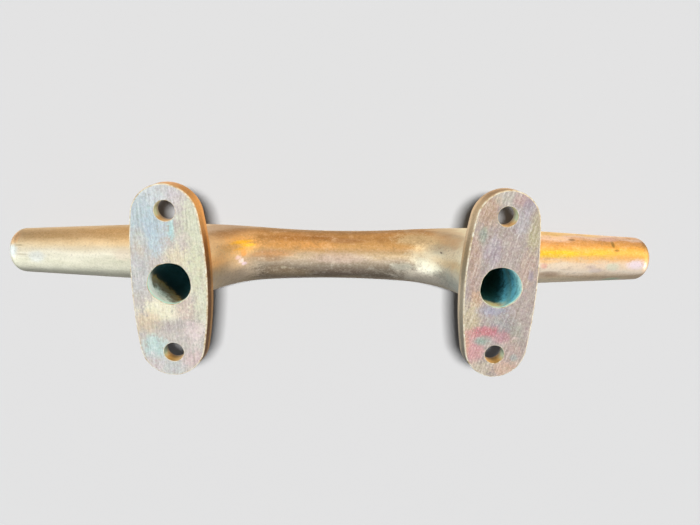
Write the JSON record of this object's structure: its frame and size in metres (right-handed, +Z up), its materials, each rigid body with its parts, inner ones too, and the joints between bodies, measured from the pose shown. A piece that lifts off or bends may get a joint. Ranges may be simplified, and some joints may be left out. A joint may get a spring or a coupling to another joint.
{
  "type": "boat cleat",
  "caption": "Horned boat cleat in cast bronze: a waisted round bar on hollow legs with oval countersunk feet, running out into tapering horns.",
  "frame": {"origin": "on the deck, midway between the feet", "axes": "+Z up from the deck, +X along the bar from the left horn to the right one, Y across the bar"},
  "size_m": [0.3048, 0.0776, 0.0658],
  "materials": {
    "bar_bronze": "worn satin cast bronze",
    "foot_bronze": "filed and weathered bronze"
  },
  "bodies": {
    "root": {"left_horn": "bar_bronze", "center_bar": "bar_bronze", "right_horn": "bar_bronze", "left_leg": "bar_bronze", "right_leg": "bar_bronze", "left_foot": "foot_bronze", "right_foot": "foot_bronze"}
  },
  "joints": []
}
